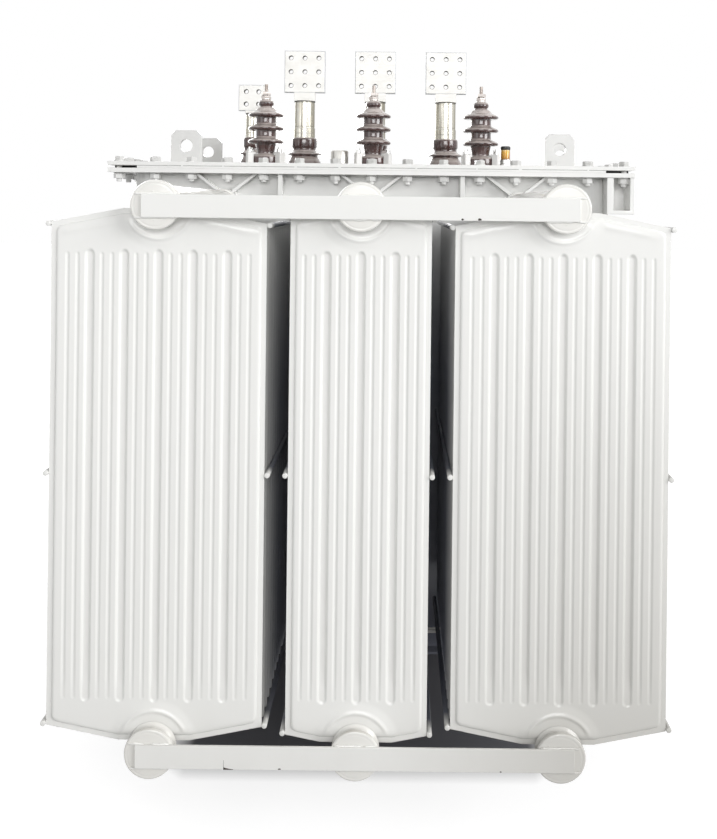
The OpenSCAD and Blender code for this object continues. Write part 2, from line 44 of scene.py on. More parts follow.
# Radiators, in metres: header pipes, stack of panels and brace bars
HEADER_SPAN = 1.2
HEADER_Z = 0.222
TOP_Z = HEADER_Z + HEADER_SPAN
HEADERS = (HEADER_Z, TOP_Z)
WALL_Y = 0.291
WALL_LEAD, DISC_LEAD = 0.154, 0.047
PITCH = 0.045
PANELS = 17
FIRST_Y = WALL_Y + WALL_LEAD + (PANELS - 1) * PITCH
DISC_Y = FIRST_Y + DISC_LEAD
STUB_LEN, SLEEVE_LEN = 0.040, 0.050
HEADER_IN = WALL_Y + STUB_LEN + SLEEVE_LEN
PIPE_R = 0.0445
RAD_X = 0.450
BRACE_H, BRACE_DROP, BRACE_OUT = 0.0255, 0.002, 0.029
BRACE_FACE = DISC_Y + 0.0058
SIDES = {-1: "front", 1: "rear"}
INWARD = {-1: "y", 1: "-y"}
OUTWARD = {-1: "-y", 1: "y"}

# Outline of a panel: half widths, flat top with slanted shoulders, rim and raised body
HALF = {"left": 0.240, "mid": 0.1575, "right": 0.240}
PLACE = {"left": -1, "mid": 0, "right": 1}
TOP_DROP, TOP_HALF, SHOULDER = 0.008, 0.080, 0.198
SLANT = 0.98
RIM_W, RIM_H, BODY_H = 0.012, 0.0015, 0.006
INNER_R, EDGE_W = 0.013, 0.007

# Pressing round the headers and under the shoulders
FIELD_H, FIELD_R, FIELD_FADE = 0.0028, 0.074, 0.028
RIDGE_H, RIDGE_R, RIDGE_W = 0.0025, 0.0755, 0.0040
COLLAR_H = 0.0110
LIP_H, LIP_IN, LIP_W = 0.0012, 0.0150, 0.0070

# Flutes: half width, depth, distance of the ends from the header's middle, flat share of the width
Flute = namedtuple("Flute", "half depth end flat")
WIDE_FLUTE = Flute(0.0115, 0.0050, 0.101, 0.50)
SLIM_FLUTE = Flute(0.0058, 0.0018, 0.107, 0.12)
FLUTE_PITCH, SLIM_STEP, FLUTE_SIDE = 0.0764, 0.0270, 0.0500
NARROW_DEEPER = 1.22

# Tank and lid
TANK_X = 0.748
FLOOR_Z = 0.110
SEAM_X, SEAM_Y = 0.685, 0.228
LID_X, LID_Y = 0.807, 0.350
FLANGE_RISE, FLANGE_T, STRIP_T, LID_T = 0.097, 0.014, 0.008, 0.012
FLANGE_Z = TOP_Z + FLANGE_RISE
STRIP_Z = FLANGE_Z + FLANGE_T
LID_Z = STRIP_Z + STRIP_T
DECK_Z = LID_Z + LID_T
LUG_X, LUG_FAR_X, LUG_Y, LUG_T = 0.600, 0.664, 0.185, 0.018
LUGS = ((-LUG_X, -LUG_Y), (-LUG_X, LUG_Y), (LUG_X, -LUG_Y), (LUG_FAR_X, LUG_Y))
BOLT_INSET, LONG_SPACES, SHORT_SPACES = 0.029, 14, 6

# Bushings and flags
HV_PITCH, HV_Y = 0.350, -0.150
SHEDS, SHED_Z, SHED_STEP = 3, 78, 43
THREADS, THREAD_PITCH = 34, 0.00143
CLAW_R, CLAW_ANGLES = 0.056, (30, 150, 210, 330)
LV_PITCH, LV_Y, LV_SMALL_X = 0.245, 0.070, -0.426
FLAG_T, FLAG_HOLE_R, FLAG_BEVEL, HOLE_BEVEL = 0.020, 0.007, 0.0022, 0.0014
SIGHT_Z, SIGHT_H = 0.026, 0.032

# Floor, in metres, and camera; the picture's longer side and the camera's shift are in pixels
FLOOR_HALF = 30
SHADE_X, SHADE_Y = 0.44, 0.80
PICTURE_H = 839
SHIFT_RIGHT, SHIFT_UP = -37.5, -213.5
LENS = 42.3
CAMERA_AT = (0.0765, -3.362, TOP_Z + 0.003)
CAMERA_ROLL = -0.0113

# Colours of what lies on the paint, and of painted shade at the lower right and in the radiator gaps
SPECK = (0.42, 0.38, 0.32)
DUST = (0.47, 0.43, 0.37)
# Painted shade at the lower right
LOWER_RIGHT_SHADE = (0.50, 0.49, 0.46)
SOIL = (0.40, 0.36, 0.31)
# Painted shade in the gaps between and behind the radiators
GAP_SHADE = (0.045, 0.059, 0.115)


# Materials
class Nodes:
    """Small helper that wires a material's nodes."""

    def __init__(self, name):
        self.mat = bpy.data.materials.new(name)
        self.mat.use_nodes = True
        self.nt = self.mat.node_tree
        self.bsdf = self.nt.nodes["Principled BSDF"]
        self.coord = self.nt.nodes.new("ShaderNodeTexCoord").outputs["Object"]

    def link(self, a, b):
        self.nt.links.new(a, b)

    def feed(self, sock, v):
        """Sets a socket to a number or a colour, or links another node's output to it."""
        if isinstance(v, (int, float)):
            sock.default_value = v
        elif isinstance(v, tuple):
            sock.default_value = (*v, 1.0)
        else:
            self.link(v, sock)

    def stretched(self, scale):
        """The place on the object, scaled differently along each axis."""
        m = self.nt.nodes.new("ShaderNodeMapping")
        m.inputs["Scale"].default_value = scale
        self.link(self.coord, m.inputs["Vector"])
        return m.outputs["Vector"]

    def noise(self, scale, detail=3.0, rough=0.55, vec=None):
        n = self.nt.nodes.new("ShaderNodeTexNoise")
        n.inputs["Scale"].default_value = scale
        n.inputs["Detail"].default_value = detail
        n.inputs["Roughness"].default_value = rough
        self.link(vec if vec is not None else self.coord, n.inputs["Vector"])
        return n.outputs["Fac"]

    def ramp(self, fac, stops):
        """Colour ramp through (position, colour) stops."""
        r = self.nt.nodes.new("ShaderNodeValToRGB")
        el = r.color_ramp.elements
        while len(el) < len(stops):
            el.new(0.5)
        for e, (p, c) in zip(el, stops):
            e.position = p
            e.color = (*c, 1.0)
        self.link(fac, r.inputs["Fac"])
        return r.outputs["Color"]

    def mix(self, fac, a, b):
        """Colour a, going over to colour b as fac rises."""
        n = self.nt.nodes.new("ShaderNodeMix")
        n.data_type = "RGBA"
        for sock, v in ((n.inputs["Factor"], fac), (n.inputs[6], a), (n.inputs[7], b)):
            self.feed(sock, v)
        return n.outputs[2]

    def math(self, op, a, b=None):
        n = self.nt.nodes.new("ShaderNodeMath")
        n.operation = op
        for sock, v in zip(n.inputs, (a, b)):
            if v is not None:
                self.feed(sock, v)
        return n.outputs[0]

    def times(self, a, b):
        return self.math("MULTIPLY", a, b)

    def range(self, v, a, b, c=0.0, d=1.0):
        """Maps v from the span a to b onto c to d, and holds it there."""
        n = self.nt.nodes.new("ShaderNodeMapRange")
        n.clamp = True
        for sock, x in zip(list(n.inputs)[1:5], (a, b, c, d)):
            sock.default_value = x
        self.link(v, n.inputs[0])
        return n.outputs[0]

    def split(self, vec, axis):
        s = self.nt.nodes.new("ShaderNodeSeparateXYZ")
        self.link(vec, s.inputs[0])
        return s.outputs[axis]

    def facing(self, axis):
        """How far the surface faces along an axis."""
        return self.split(self.nt.nodes.new("ShaderNodeNewGeometry").outputs["Normal"], axis)

    def place(self, axis):
        """Where the surface lies along an axis."""
        return self.split(self.coord, axis)

    def away(self, axis):
        """Distance from the middle plane along an axis."""
        return self.math("ABSOLUTE", self.place(axis))

    def bump(self, fac, strength, distance):
        b = self.nt.nodes.new("ShaderNodeBump")
        b.inputs["Strength"].default_value = strength
        b.inputs["Distance"].default_value = distance
        self.link(fac, b.inputs["Height"])
        self.link(b.outputs["Normal"], self.bsdf.inputs["Normal"])

    def set(self, **kw):
        """Feeds the shader's sockets by name and returns the material."""
        for k, v in kw.items():
            self.feed(self.bsdf.inputs[k.replace("_", " ")], v)
        return self.mat


def paint(name, light, dark, rough=(0.21, 0.26), dust=0.25, deep=0.0, start=1.150, reach=0.86):
    """Gloss enamel with cloudy tone, thin run streaks, specks, dust on level faces and orange peel.

    Painted shade darkens the enamel towards the lower right, and soil grows towards the floor. Where deep
    is given, painted shade grows from start to reach, measured from the middle plane of the machine.
    """
    n = Nodes(name)
    height = n.place("Z")
    cloud = n.ramp(n.noise(1.7, 2.0, 0.4), [(0.25, dark), (0.75, light)])
    streak = n.noise(1.0, 4.0, 0.6, n.stretched((38.0, 38.0, 1.6)))
    col = n.mix(n.range(streak, 0.50, 0.85, 0.0, 0.07), cloud, tuple(c * 0.86 for c in dark))
    col = n.mix(n.range(n.noise(420.0, 2.0), 0.73, 0.80, 0.0, 0.35), col, SPECK)
    level = n.times(n.range(n.facing("Z"), 0.55, 0.98), n.range(n.noise(9.0, 5.0), 0.3, 0.75))
    col = n.mix(n.times(level, dust), col, DUST)
    # Painted shade: darker towards the bottom, and much more so towards the right
    lower_right_shade = n.times(n.range(height, 1.30, 0.25, 0.0, 0.19), n.range(n.place("X"), 0.05, 0.50, 1.0, 4.2))
    col = n.mix(lower_right_shade, col, LOWER_RIGHT_SHADE)
    low = n.times(n.range(height, 0.34, 0.02, 0.0, 0.30), n.noise(14.0, 5.0))
    col = n.mix(low, col, SOIL)
    # Painted shade, patchy, in the gaps between and behind the radiators
    if deep:
        patchy = n.range(n.noise(3.0, 4.0), 0.2, 0.7, 0.75, 1.0)
        gap_shade = n.times(n.range(n.away("Y"), start, reach, 0.0, deep), patchy)
        gap_shade = n.times(gap_shade, n.range(n.away("X"), 0.66, 0.62))
        if reach < 1.0:
            # The painted shade fades towards the top, where light falls into the gaps; the rods keep it all
            # the way up
            gap_shade = n.times(gap_shade, n.range(height, 1.405, 1.00))
        col = n.mix(gap_shade, col, GAP_SHADE)
    r = n.range(n.noise(5.0, 4.0), 0.25, 0.75, rough[0], rough[1])
    peel = n.math("ADD", n.noise(260.0, 2.0), n.times(n.noise(38.0, 2.0), 1.5))
    n.bump(peel, 0.05, 0.0006)
    return n.set(Base_Color=col, Roughness=r, Coat_Weight=0.35, Coat_Roughness=0.12,
                 Specular_IOR_Level=0.22)


def glaze(name):
    """Dark brown glazed porcelain, a little lighter where the glaze runs thin, dusty on top."""
    n = Nodes(name)
    c = n.ramp(n.noise(26.0, 4.0), [(0.3, (0.028, 0.010, 0.009)), (0.7, (0.074, 0.030, 0.027))])
    thin = n.noise(1.0, 3.0, 0.5, n.stretched((90.0, 90.0, 12.0)))
    c = n.mix(n.range(thin, 0.5, 0.8, 0.0, 0.5), c, (0.115, 0.056, 0.048))
    dust = n.times(n.range(n.facing("Z"), 0.20, 0.62), n.range(n.noise(60.0, 4.0), 0.05, 0.50))
    c = n.mix(n.times(dust, 0.92), c, (0.54, 0.48, 0.45))
    r = n.math("ADD", n.range(n.noise(45.0, 3.0), 0.3, 0.7, 0.07, 0.16), n.times(dust, 0.22))
    n.bump(n.noise(1.0, 2.0, 0.5, n.stretched((150.0, 150.0, 40.0))), 0.6, 0.0014)
    return n.set(Base_Color=c, Roughness=r, Coat_Weight=0.9, Coat_Roughness=0.04, Specular_IOR_Level=0.45)


def metal(name, base, dark, rough, grain, metallic=1.0):
    """Plated or bare metal with a drawn grain, tarnish clouds and small scratches."""
    n = Nodes(name)
    c = n.ramp(n.noise(18.0, 4.0), [(0.3, dark), (0.7, base)])
    line = n.noise(1.0, 3.0, 0.6, n.stretched(grain))
    c = n.mix(n.range(line, 0.45, 0.75, 0.0, 0.25), c, dark)
    r = n.range(line, 0.3, 0.7, rough[0], rough[1])
    n.bump(line, 0.04, 0.0003)
    return n.set(Base_Color=c, Roughness=r, Metallic=metallic)


def streaky(name):
    """Drawn tinned bar: upright streaks of bright and dull tin, partly painted reflections of upright
    highlights, with a warm tarnish and painted dark reflections on the flanks.
    """
    n = Nodes(name)
    # Upright streaks: drawn tin, partly painted reflections of highlights
    v = n.noise(1.0, 3.0, 0.6, n.stretched((95.0, 95.0, 2.0)))
    c = n.ramp(v, [(0.30, (0.30, 0.285, 0.235)), (0.44, (0.54, 0.52, 0.45)),
                   (0.56, (0.72, 0.705, 0.655)), (0.72, (0.62, 0.59, 0.50))])
    c = n.mix(n.range(n.noise(45.0, 4.0), 0.5, 0.75, 0.0, 0.4), c, (0.52, 0.47, 0.36))
    # Painted dark reflections on the flanks that face neither front nor back
    square = n.math("ABSOLUTE", n.facing("Y"))
    c = n.mix(n.range(square, 0.86, 0.30, 0.0, 0.80), c, (0.200, 0.180, 0.120))
    r = n.range(v, 0.3, 0.7, 0.34, 0.18)
    n.bump(n.noise(1.0, 2.0, 0.5, n.stretched((40.0, 40.0, 700.0))), 0.05, 0.0002)
    return n.set(Base_Color=c, Roughness=r, Metallic=0.8)


def dull(name, a, b, rough, scale=60.0):
    """Matt rubber, plastic or bare steel, mottled between two tones."""
    n = Nodes(name)
    c = n.ramp(n.noise(scale, 4.0), [(0.3, a), (0.7, b)])
    r = n.range(n.noise(scale * 2, 3.0), 0.3, 0.7, rough - 0.08, rough + 0.08)
    n.bump(n.noise(scale * 8, 2.0), 0.12, 0.0004)
    return n.set(Base_Color=c, Roughness=r)


def amber(name):
    """Amber oil behind glass, darker at the foot, with painted shade towards the sides."""
    n = Nodes(name)
    level = n.range(n.place("Z"), DECK_Z + SIGHT_Z, DECK_Z + SIGHT_Z + SIGHT_H)
    c = n.ramp(level, [(0.0, (0.20, 0.08, 0.005)), (0.30, (0.66, 0.30, 0.008)),
                       (0.8, (0.85, 0.46, 0.02)), (1.0, (0.80, 0.60, 0.25))])
    c = n.mix(n.range(n.noise(90.0, 3.0), 0.5, 0.8, 0.0, 0.4), c, (0.55, 0.24, 0.01))
    # Painted shade: darker where the glass turns away from front and back
    square = n.math("ABSOLUTE", n.facing("Y"))
    c = n.mix(n.range(square, 0.8, 0.3, 0.0, 0.75), c, (0.24, 0.10, 0.005))
    r = n.range(n.noise(70.0), 0.3, 0.7, 0.05, 0.12)
    return n.set(Base_Color=c, Roughness=r, Transmission_Weight=0.15, IOR=1.46,
                 Coat_Weight=1.0, Coat_Roughness=0.03)


PAINT_R = paint("radiator_enamel", (0.870, 0.870, 0.852), (0.850, 0.850, 0.828))
PAINT_T = paint("tank_enamel", (0.83, 0.83, 0.815), (0.79, 0.79, 0.775), dust=0.3)
PAINT_L = paint("lid_enamel", (0.875, 0.875, 0.86), (0.845, 0.845, 0.83), dust=0.70)
PIPE_M = paint("pipe_enamel", (0.84, 0.835, 0.805), (0.81, 0.80, 0.765), dust=1.0)
# Inner panels and the inner faces of the outer ones: a darker copy of the radiator enamel, painted shade
SHADED_INNER_PAINT = paint("inner_enamel_shaded", (0.70, 0.70, 0.685), (0.64, 0.64, 0.625), rough=(0.34, 0.46), deep=0.80)
# Tie rods: a slightly darker enamel with painted shade where they cross the gaps
GAP_SHADED_ROD_PAINT = paint("rod_enamel_gap_shaded", (0.84, 0.84, 0.82), (0.79, 0.79, 0.77), deep=0.82, reach=1.11)
# Tank wall and skids: painted shade towards the front and back, behind and below the radiators
PAINT_W = paint("wall_enamel", (0.79, 0.79, 0.775), (0.75, 0.75, 0.735), dust=0.3,
                deep=0.80, start=0.27, reach=0.29)
PAINT_S = paint("skid_enamel", (0.80, 0.80, 0.785), (0.74, 0.74, 0.725), dust=0.5,
                deep=0.80, start=0.12, reach=0.17)
EDGE_M = metal("sawn_edge", (0.62, 0.64, 0.66), (0.50, 0.52, 0.54), (0.5, 0.65), (30.0, 30.0, 300.0), 0.2)
BOLT_PAINT_LIGHTENED = paint("bolt_enamel_lightened", (0.88, 0.88, 0.87), (0.78, 0.78, 0.765), rough=(0.22, 0.32), dust=0.15)
CLAW = paint("claw_enamel", (0.82, 0.82, 0.81), (0.66, 0.65, 0.63), rough=(0.24, 0.4), dust=0.2)
GLAZE = glaze("brown_glaze")
PLATE_M = metal("tinned_plate", (0.84, 0.835, 0.815), (0.76, 0.75, 0.72), (0.46, 0.62),
                (30.0, 30.0, 300.0), 0.25)
STEM_M = streaky("tinned_stem")
# Near-black walls and rims of the flag holes, and the ring under a stem's collar: painted shade
HOLE_SHADE_PAINT = dull("dark_hole_painted_shade", (0.05, 0.048, 0.043), (0.15, 0.145, 0.13), 0.6, 300.0)
ZINC = metal("zinc_plate", (0.80, 0.80, 0.79), (0.56, 0.56, 0.545), (0.28, 0.44), (160.0, 160.0, 160.0))
BRASS = metal("stud_brass", (0.74, 0.70, 0.675), (0.50, 0.455, 0.425), (0.22, 0.38), (40.0, 40.0, 500.0))
RUBBER = dull("gasket_rubber", (0.012, 0.012, 0.012), (0.035, 0.034, 0.032), 0.62)
BLACK = dull("black_cap", (0.012, 0.013, 0.013), (0.04, 0.042, 0.04), 0.38, 40.0)
CHIP = dull("bare_chip", (0.012, 0.010, 0.009), (0.06, 0.045, 0.035), 0.7, 200.0)
AMBER = amber("amber_oil")
# Painted shadow of the joint under the lid
JOINT_SHADOW_PAINT = dull("painted_joint_shadow", (0.26, 0.26, 0.25), (0.44, 0.44, 0.43), 0.6)
# Lugs: a darker copy of the enamel, painted shade against the extra light they catch above the lid
SHADED_LUG_PAINT = paint("lug_enamel_shaded", (0.71, 0.71, 0.70), (0.65, 0.65, 0.635), dust=0.2)
HEAD_PAINT_DARKENED = paint("head_enamel_darkened", (0.72, 0.72, 0.71), (0.60, 0.60, 0.585), rough=(0.22, 0.32), dust=0.15)
PLUG_M = metal("plug_tin", (0.74, 0.73, 0.70), (0.46, 0.44, 0.40), (0.26, 0.40), (70.0, 70.0, 2.0), 0.7)


# Mesh tools
def bands(rings, seg):
    """Quads between neighbouring rings of seg points each, every ring closed on itself."""
    return [(i * seg + j, i * seg + (j + 1) % seg, (i + 1) * seg + (j + 1) % seg, (i + 1) * seg + j)
            for i in range(rings - 1) for j in range(seg)]


def mm(points):
    """Points in millimetres as an array in metres."""
    return np.array(points) / 1000


class Soup:
    """Collects points and faces for one piece; every face keeps a material number."""

    def __init__(self):
        self.v, self.f, self.m, self.n = [], [], [], 0

    def add(self, verts, faces, m=0):
        verts = np.asarray(verts, float).reshape(-1, 3)
        self.v.append(verts)
        self.f += [tuple(int(i) + self.n for i in q) for q in faces]
        self.m += [m] * len(faces)
        self.n += len(verts)

    def lathe(self, prof, seg, at, axis="z", m=0, turn=0.0):
        """Turned shape: prof holds (radius, distance along axis) from one end to the other."""
        prof = np.asarray(prof, float)
        a = np.linspace(0, 2 * math.pi, seg, endpoint=False) + turn
        r, h = prof[:, 0][:, None], prof[:, 1][:, None]
        u, w, t = r * np.cos(a), r * np.sin(a), h * np.ones_like(a)[None, :]
        turned = {"z": (u, w, t), "y": (w, t, u), "-y": (u, -t, w)}[axis]
        self.add(np.stack(turned, -1).reshape(-1, 3) + np.asarray(at, float), bands(len(prof), seg), m)

    def box(self, lo, hi, bev, m=0, segs=2):
        """Bar between two corners, with softened edges."""
        bm = bmesh.new()
        bmesh.ops.create_cube(bm, size=1.0)
        lo, hi = Vector(lo), Vector(hi)
        for v in bm.verts:
            v.co = Vector((lo[i] + (v.co[i] + 0.5) * (hi[i] - lo[i]) for i in range(3)))
        bmesh.ops.bevel(bm, geom=bm.edges[:], offset=bev, segments=segs, profile=0.5, affect="EDGES",
                        clamp_overlap=True)
        bm.verts.index_update()
        self.add([v.co[:] for v in bm.verts], [[v.index for v in f.verts] for f in bm.faces], m)
        bm.free()

    def tube(self, pts, rad, seg=8):
        """Round bead along points, closed at both ends."""
        k = len(pts)
        tan = np.gradient(pts, axis=0)
        tan /= np.linalg.norm(tan, axis=1)[:, None]
        ref = np.array([0.0, 1.0, 0.0]) if abs(tan[0][1]) < 0.8 else np.array([0.0, 0.0, 1.0])
        a = np.linspace(0, 2 * math.pi, seg, endpoint=False)
        vs = []
        for i in range(k):
            n1 = np.cross(tan[i], ref)
            n1 /= np.linalg.norm(n1)
            n2 = np.cross(tan[i], n1)
            vs.append(pts[i] + rad[i] * (np.cos(a)[:, None] * n1 + np.sin(a)[:, None] * n2))
        ends = [tuple(range(seg - 1, -1, -1)), tuple((k - 1) * seg + j for j in range(seg))]
        self.add(np.concatenate(vs), bands(k, seg) + ends)

    def bead(self, a, b, r, step):
        """Hand-laid weld bead from a to b with small ripples."""
        a, b = np.asarray(a, float), np.asarray(b, float)
        k = max(4, int(np.linalg.norm(b - a) / step))
        pts = a + (b - a) * np.linspace(0, 1, k)[:, None]
        pts = pts + np.array([[rnd.uniform(-1, 1) * r * 0.18 for _ in range(3)] for _ in range(k)])
        rad = [r * (0.86 + 0.2 * rnd.random()) for _ in range(k)]
        rad[0] = rad[-1] = r * 0.5
        self.tube(pts, rad)

    def hexa(self, at, af, h, m=0, turn=0.0):
        """Hexagon head or nut with chamfered corners; at is the middle of its seat."""
        r = af / math.sqrt(3)
        c = min(0.0016, h * 0.16)
        prof = [(0.0, 0), (r - 0.0004, 0), (r, c * 0.4), (r, h - c), (r - c * 1.6, h), (0.0, h)]
        self.lathe(prof, 6, at, "z", m, turn)

    def make(self, name, mats, nodes, angle):
        """Turns the soup into a piece that stands for the given nodes."""
        me = bpy.data.meshes.new(name)
        me.from_pydata(np.concatenate(self.v).tolist(), [], self.f)
        me.polygons.foreach_set("material_index", self.m)
        bm = bmesh.new()
        bm.from_mesh(me)
        bmesh.ops.remove_doubles(bm, verts=bm.verts[:], dist=1e-6)
        bmesh.ops.recalc_face_normals(bm, faces=bm.faces[:])
        bm.to_mesh(me)
        bm.free()
        for mt in mats:
            me.materials.append(mt)
        settle(name, me, nodes, angle)


def settle(name, me, nodes, angle):
    """Puts a mesh into the scene as a piece that rides on the machine's one body."""
    me.shade_smooth()
    me.set_sharp_from_angle(angle=math.radians(angle))
    ob = bpy.data.objects.new(name, me)
    bpy.context.scene.collection.objects.link(ob)
    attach(ob, "root")
    if nodes:
        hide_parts(*nodes)


def clone(node, name, mat, bev=0.0012, angle=20.0):
    """A dressed copy of a solid: softened edges, smooth rounds, its own enamel or plating."""
    me = NODES[node].data.copy()
    me.materials.clear()
    me.materials.append(mat)
    bm = bmesh.new()
    bm.from_mesh(me)
    bmesh.ops.remove_doubles(bm, verts=bm.verts[:], dist=1e-6)
    bmesh.ops.dissolve_limit(bm, angle_limit=math.radians(0.5), verts=bm.verts[:], edges=bm.edges[:])
    if bev:
        sharp = [e for e in bm.edges
                 if len(e.link_faces) == 2 and e.calc_face_angle(0.0) > math.radians(40)]
        bmesh.ops.bevel(bm, geom=sharp, offset=bev, segments=2, profile=0.5, affect="EDGES",
                        clamp_overlap=True)
    bm.to_mesh(me)
    bm.free()
    settle(name, me, [node], angle)


# Radiators
def ease(t):
    """Smooth step from 0 to 1."""
    t = np.clip(t, 0, 1)
    return t * t * (3 - 2 * t)


def bell(t):
    """Round hump of height 1."""
    return np.exp(-t ** 2)


def drop(x):
    """How far the slanted shoulder lies below the flat top of a panel."""
    return SHOULDER * np.maximum(np.abs(x) - TOP_HALF, 0)


def flutes_on(nw):
    """Places and shapes of the flutes on a panel with nw wide ones on each side of the middle one."""
    for k in range(-nw - 1, nw + 2):
        for off, shape in ((0.0, WIDE_FLUTE), (SLIM_STEP, SLIM_FLUTE), (-SLIM_STEP, SLIM_FLUTE)):
            xc = k * FLUTE_PITCH + off
            fits = abs(xc) <= nw * FLUTE_PITCH + FLUTE_SIDE
            if fits and (shape is SLIM_FLUTE or abs(k) <= nw):
                yield xc, shape


def lip(x, z, dx, dz):
    """Low wavy swelling of the sheet along the upper shoulders."""
    wave = 1 + 0.5 * np.sin(x * 61.0 + 0.7) * np.sin(x * 23.0)
    along = ease((dx - 0.004) / 0.02) * ease((np.abs(x) - 0.082) / 0.02)
    return LIP_H * ease((z - 0.8) / 0.1) * wave * bell((dz - LIP_IN) / LIP_W) * along


def groove(x, z, xc, shape):
    """Depth of one flute: rounded ends, and shallower towards its lower end."""
    lo, hi = HEADER_Z + shape.end + shape.half, TOP_Z - shape.end - shape.half
    beyond = np.maximum(np.maximum(lo - 0.008 - z, 0.8 * (z - hi)), 0)
    off = np.hypot(x - xc, beyond) / shape.half
    return shape.depth * ease((1 - off) / (1 - shape.flat)) * (0.45 + 0.55 * ease((z - lo) / 0.06))


def press(x, z, half, nw, fluted):
    """Height of the pressed sheet over the middle plane of a panel."""
    top = TOP_Z - TOP_DROP - drop(x) - z
    low = z - (HEADER_Z + TOP_DROP + drop(x))
    dz = np.minimum(top, low) * SLANT - RIM_W
    dx = half - np.abs(x) - RIM_W
    rounded = INNER_R - np.hypot(INNER_R - dx, INNER_R - dz)
    s = np.where((dx < INNER_R) & (dz < INNER_R), rounded, np.minimum(dx, dz))
    t = np.clip(s / EDGE_W, 0, 1)
    h = RIM_H + (BODY_H - RIM_H) * np.sqrt(np.clip(1 - (1 - t) ** 2, 0, 1))
    for zc in HEADERS:
        r = np.hypot(x, z - zc)
        h = h + FIELD_H * (1 - ease((r - FIELD_R) / FIELD_FADE)) * ease(s / 0.012)
        if fluted:
            h = h + RIDGE_H * bell((r - RIDGE_R) / RIDGE_W) * ease(s / 0.026)
    if fluted:
        h = h + lip(x, z, dx, dz)
        deeper = NARROW_DEEPER if nw == 1 else 1.0
        for xc, shape in flutes_on(nw):
            h = h - deeper * groove(x, z, xc, shape)
    return h


# Lines of a panel's mesh, close together where the sheet bends: steps in from the rim, round the
# headers and across a flute
RIM_FINE = [0, 0.002, 0.009, 0.0115, 0.0125, 0.0138, 0.0152, 0.017, 0.0195, 0.024]
RIM_COARSE = [0, 0.0115, 0.0135, 0.017, 0.024]
COLLAR_COARSE = [0.025, 0.050, 0.066, 0.078, 0.086, 0.102]
COLLAR_FINE = [i * 0.0026 for i in range(-39, 40)]
FLUTE_FINE = [0, 0.12, 0.32, 0.52, 0.62, 0.74, 0.86, 1.0, 1.15]
ROWS_FINE = (RIM_FINE + [0.030] + [0.0325 + 0.0025 * i for i in range(16)]
             + [0.072 + 0.0021 * i for i in range(24)] + [0.124, 0.135, 0.16])
ROWS_COARSE = [0, 0.0115, 0.0135, 0.017, 0.026, 0.045, 0.062, 0.070, 0.078, 0.094]
ROW_LAST = 0.3
SHOULDER_FADE = 0.09
LEAST_STEP = 0.0008


def thinned(xs):
    """Sorted places without those that lie too close to the one before; both ends stay."""
    xs = sorted(xs)
    keep = [xs[0]]
    for x in xs[1:-1]:
        if x - keep[-1] > LEAST_STEP:
            keep.append(x)
    if xs[-1] - keep[-1] < LEAST_STEP:
        keep.pop()
    return np.array(keep + [xs[-1]])


def panel_grid(half, nw, fine):
    """Places of the mesh points of one panel face, in rows from the bottom edge to the top edge."""
    xs = [s * (half - e) for e in (RIM_FINE if fine else RIM_COARSE) for s in (1, -1)]
    if fine:
        for xc, shape in flutes_on(nw):
            xs += [xc + s * u * shape.half for u in FLUTE_FINE for s in (1, -1)]
        xs += COLLAR_FINE
    else:
        xs += [0] + [s * e for e in COLLAR_COARSE for s in (1, -1)]
    xs = thinned(xs)
    ts = np.array((ROWS_FINE if fine else ROWS_COARSE) + [ROW_LAST, HEADER_SPAN / 2 - TOP_DROP])
    slope = drop(xs)[None, :] * np.clip(1 - ts / SHOULDER_FADE, 0, 1)[:, None]
    upper = (TOP_Z - TOP_DROP - ts)[:, None] - slope
    lower = (HEADER_Z + TOP_DROP + ts)[:, None] + slope
    z = np.concatenate([lower, upper[:-1][::-1]])
    return np.broadcast_to(xs[None, :], z.shape), z


def panel(so, xc, yc, half, nw, outer, side):
    """One pressed panel; side -1 faces the front. Only the outer face of the outermost has flutes."""
    for face in (side, -side):
        fine = outer and face == side
        x, z = panel_grid(half, nw, fine)
        y = yc + face * press(x, z, half, nw, fine)
        i = np.arange(x.size).reshape(x.shape)
        quads = np.stack([i[:-1, :-1], i[:-1, 1:], i[1:, 1:], i[1:, :-1]], -1).reshape(-1, 4)
        so.add(np.stack([x + xc, y, z], -1), quads.tolist(), 0 if fine else 1)
    grid = np.stack(panel_grid(half, nw, False), -1)
    ring = np.concatenate([grid[0], grid[1:, -1], grid[-1, -2::-1], grid[-2:0:-1, 0]])
    vs = [(x + xc, yc + s * RIM_H, z) for s in (-1, 1) for x, z in ring]
    so.add(vs, bands(2, len(ring)), 0 if outer else 1)


def header_outline():
    """Turned outline of a header pipe from its end disc inwards, with both weld seams."""
    length = DISC_Y - HEADER_IN
    disc = [(0, 0), (0.0435, 0), (0.0455, 0.0002), (0.0470, 0.0006), (0.0482, 0.0007), (0.0497, 0.0004),
            (0.0520, 0.0005), (0.0540, 0.0018), (0.055, 0.0045), (0.055, 0.0085), (0.0545, 0.010),
            (0.051, 0.0103), (0.0505, 0.0125), (0.0485, 0.0145), (PIPE_R, 0.0160)]
    seam = [(PIPE_R, -0.005), (0.0462, -0.0042), (0.0476, -0.0022), (0.0482, -0.0003),
            (PIPE_R - 0.004, 0)]
    return disc + [(r, length + d) for r, d in seam]


